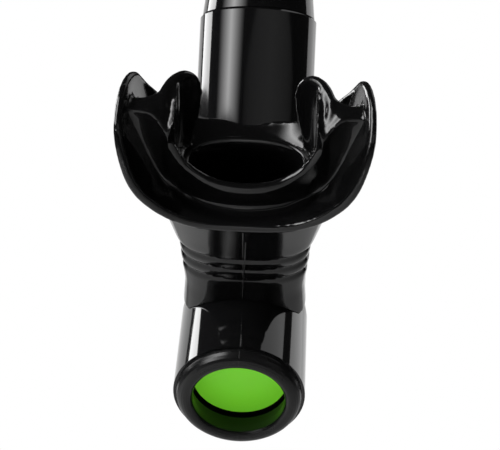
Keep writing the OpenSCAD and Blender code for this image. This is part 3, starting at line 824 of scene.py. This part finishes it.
def show_to_camera(tree, lit, seen, output):
    """Shows one shader to the camera and another to every other ray."""
    path = tree.nodes.new("ShaderNodeLightPath")
    direct = math_node(tree, "MAXIMUM", path.outputs["Is Camera Ray"], path.outputs["Is Transmission Ray"])
    mix = tree.nodes.new("ShaderNodeMixShader")
    tree.links.new(direct, mix.inputs[0])
    tree.links.new(lit.outputs[0], mix.inputs[1])
    tree.links.new(seen.outputs[0], mix.inputs[2])
    tree.links.new(mix.outputs[0], output.inputs["Surface"])


def pale_material(name, value, seen):
    """Plain pale paper that the camera sees at an even brightness."""
    material = bpy.data.materials.new(name)
    material.use_nodes = True
    tree = material.node_tree
    shader = tree.nodes["Principled BSDF"]
    shader.inputs["Base Color"].default_value = (value, value, value, 1)
    shader.inputs["Roughness"].default_value = 0.9
    glow = tree.nodes.new("ShaderNodeEmission")
    glow.inputs["Strength"].default_value = seen
    show_to_camera(tree, shader, glow, tree.nodes["Material Output"])
    return material


class SNORKEL_OT_stage(bpy.types.Operator):
    """Sets the pale floor, the world and the soft lamps"""
    bl_idname = "snorkel.stage"
    bl_label = "Stage"

    def execute(self, context):
        stage = context.scene.snorkel_stage
        clear_selection()
        bpy.ops.mesh.primitive_plane_add(size=6, location=(0, 0, stage.floor_z))
        floor = named("floor")
        floor.data.materials.append(pale_material("pale_floor", 0.8, 1.0))
        world = bpy.data.worlds.new("studio")
        context.scene.world = world
        world.use_nodes = True
        tree = world.node_tree
        back = tree.nodes["Background"]
        back.inputs["Color"].default_value = (0.03, 0.03, 0.03, 1)
        back.inputs["Strength"].default_value = 1.0
        white = tree.nodes.new("ShaderNodeBackground")
        white.inputs["Color"].default_value = (1, 1, 1, 1)
        show_to_camera(tree, back, white, tree.nodes["World Output"])
        for lamp in LAMPS:
            soft_panel(*lamp)
        return {"FINISHED"}


class SNORKEL_OT_camera(bpy.types.Operator):
    """Sets the camera to where the photo was taken"""
    bl_idname = "snorkel.camera"
    bl_label = "Camera"

    def execute(self, context):
        stage = context.scene.snorkel_stage
        data = bpy.data.cameras.new("camera")
        data.sensor_fit = "AUTO"
        data.sensor_width = SENSOR
        data.lens = stage.lens
        data.clip_start = 0.01
        camera = bpy.data.objects.new("camera", data)
        context.collection.objects.link(camera)
        e, r = stage.look_up, stage.roll
        forward = Vector((0, math.cos(e), math.sin(e)))
        level_up = Vector((0, -math.sin(e), math.cos(e)))
        right = math.cos(r) * Vector((1, 0, 0)) + math.sin(r) * level_up
        up = -math.sin(r) * Vector((1, 0, 0)) + math.cos(r) * level_up
        focal = stage.lens / SENSOR * FRAME_W
        aside = (MOUTH_X - FRAME_W / 2) / focal * stage.distance
        above = (FRAME_H / 2 - MOUTH_Y) / focal * stage.distance
        at = -(forward * stage.distance + right * aside + up * above)
        turn = Matrix.Rotation(stage.turn, 4, "Z")
        axes = Matrix((right, up, -forward)).transposed().to_4x4()
        camera.matrix_world = turn @ Matrix.Translation(at) @ axes
        context.scene.camera = camera
        context.scene.view_settings.view_transform = "Standard"
        return {"FINISHED"}


# ---------- image points ----------
# A wing lies outside WING_X, and the flange in front of FLANGE_BACK along the mouth's axis, in mm.
WING_X, FLANGE_BACK = 26, -9


def tree_of(pieces):
    """A BVHTree of some pieces as finished and placed."""
    vertices, faces = [], []
    for piece in pieces:
        first = len(vertices)
        vertices += [piece.matrix_world @ vertex.co for vertex in piece.data.vertices]
        faces += [[first + i for i in polygon.vertices] for polygon in piece.data.polygons]
    return BVHTree.FromPolygons(vertices, faces)


def view_ray(x, y):
    """Start and direction of the ray through a point of the photograph's frame."""
    camera = bpy.context.scene.camera
    data = camera.data
    side = max(FRAME_W, FRAME_H)
    ray = Vector((x - FRAME_W / 2 + data.shift_x * side, FRAME_H / 2 - y + data.shift_y * side,
                  -side * data.lens / data.sensor_width))
    place = camera.matrix_world
    return place.translation, (place.to_3x3() @ ray).normalized()


def place_on(tree, x, y):
    """Where the ray through (x, y) meets the surface in a BVHTree, or the surface nearest to the ray."""
    start, ray = view_ray(x, y)
    hit, normal, _, _ = tree.ray_cast(start, ray)
    if hit is None:
        hit, normal, _, _ = tree.find_nearest(start + ray * start.length)
    return hit, normal


def seen_at(point):
    """Where a point in the world shows in the photograph's frame."""
    camera = bpy.context.scene.camera
    data = camera.data
    side = max(FRAME_W, FRAME_H)
    p = camera.matrix_world.inverted() @ Vector(point)
    scale = side * data.lens / data.sensor_width / -p.z
    return (FRAME_W / 2 - data.shift_x * side + p.x * scale,
            FRAME_H / 2 + data.shift_y * side - p.y * scale)


def seen_box(pieces, keep=lambda point: True):
    """Lowest and highest x and y at which the finished vertices of some pieces show."""
    spots = [seen_at(piece.matrix_world @ vertex.co) for piece in pieces for vertex in piece.data.vertices
             if keep(piece.matrix_world @ vertex.co)]
    xs, ys = [x for x, _ in spots], [y for _, y in spots]
    return min(xs), max(xs), min(ys), max(ys)


def nearest_seen(pieces, x, y):
    """Where the vertex shows that is nearest to an image point."""
    spots = [seen_at(piece.matrix_world @ vertex.co) for piece in pieces for vertex in piece.data.vertices]
    return min(spots, key=lambda spot: math.hypot(spot[0] - x, spot[1] - y))


def write_points():
    """Finds where in x and y each thing shows, for each image point."""
    rubber = [bpy.data.objects["snorkel_mouthpiece"]]
    housing = [frame["nodes"]["lower_housing"]]
    rim, disc = [frame["nodes"]["purge_rim"]], [frame["nodes"]["purge_membrane"]]
    seam_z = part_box("lower_housing")[1][2]
    mouth_axis = MOUTH.inverted()
    left, right, _, _ = seen_box(rubber)
    found = {"left_edge": (left, IMAGE_POINTS["left_edge"][1]),
             "right_edge": (right, IMAGE_POINTS["right_edge"][1]),
             "bottom_edge": (IMAGE_POINTS["bottom_edge"][0], seen_box(rim)[3])}
    for name, side in (("left_wing_tip", -1), ("right_wing_tip", 1)):
        wing = [seen_at(v.co) for v in rubber[0].data.vertices if v.co.x * side > WING_X * MM]
        found[name] = min(wing, key=lambda spot: spot[1])
    left, right, _, _ = seen_box(housing, lambda point: point.z > seam_z - MM)
    found["seam_left"] = (left, IMAGE_POINTS["seam_left"][1])
    found["seam_right"] = (right, IMAGE_POINTS["seam_right"][1])
    front = seen_at((0, AXIS_Y * MM - TUBE_R * MM, seam_z))
    found["seam_front"] = (IMAGE_POINTS["seam_front"][0], front[1])
    bottom = max((seen_at(v.co) for v in rubber[0].data.vertices if (mouth_axis @ v.co).z > FLANGE_BACK),
                 key=lambda spot: spot[1])
    found["flange_bottom"] = (IMAGE_POINTS["flange_bottom"][0], bottom[1])
    for name, side in (("groove_left", -1), ("groove_right", 1)):
        neck = [seen_at(v.co) for v in rubber[0].data.vertices
                if abs((mouth_axis @ v.co).z - GROOVES[0]) < 0.3]
        found[name] = (min if side < 0 else max)(neck, key=lambda spot: spot[0])
    left, right, _, _ = seen_box(rim)
    found["rim_left"] = (left, IMAGE_POINTS["rim_left"][1])
    found["rim_right"] = (right, IMAGE_POINTS["rim_right"][1])
    found["disc_bottom"] = (IMAGE_POINTS["disc_bottom"][0], seen_box(disc)[3])
    for name in ("neck_line", "chamber_line"):
        for end in ("top", "foot"):
            point = IMAGE_POINTS[name + "_" + end]
            found[name + "_" + end] = nearest_seen([bpy.data.objects[name]], *point)


PANEL_STEPS = ("snorkel.camera", "snorkel.finishes", "snorkel.mouthpiece", "snorkel.parting_lines",
               "snorkel.stage")


class SNORKEL_PT_panel(bpy.types.Panel):
    """Lists the steps that build the snorkel's looks"""
    bl_idname = "SNORKEL_PT_panel"
    bl_label = "Dry Snorkel"
    bl_space_type = "VIEW_3D"
    bl_region_type = "UI"
    bl_category = "Snorkel"

    def draw(self, context):
        for step in PANEL_STEPS:
            self.layout.operator(step)


CLASSES = (SNORKEL_PG_mouthpiece, SNORKEL_PG_finish, SNORKEL_PG_stage, SNORKEL_OT_finishes,
           SNORKEL_OT_mouthpiece, SNORKEL_OT_parting_lines, SNORKEL_OT_stage, SNORKEL_OT_camera,
           SNORKEL_PT_panel)


def register():
    for cls in CLASSES:
        bpy.utils.register_class(cls)
    bpy.types.Scene.snorkel_mouthpiece = bpy.props.PointerProperty(type=SNORKEL_PG_mouthpiece)
    bpy.types.Scene.snorkel_finish = bpy.props.PointerProperty(type=SNORKEL_PG_finish)
    bpy.types.Scene.snorkel_stage = bpy.props.PointerProperty(type=SNORKEL_PG_stage)


def unregister():
    del bpy.types.Scene.snorkel_mouthpiece
    del bpy.types.Scene.snorkel_finish
    del bpy.types.Scene.snorkel_stage
    for cls in reversed(CLASSES):
        bpy.utils.unregister_class(cls)


def main():
    register()
    bpy.ops.snorkel.camera()
    bpy.ops.snorkel.finishes()
    bpy.ops.snorkel.mouthpiece()
    bpy.ops.snorkel.parting_lines()
    bpy.ops.snorkel.stage()
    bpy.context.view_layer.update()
    write_points()


if __name__ == "__main__":
    main()
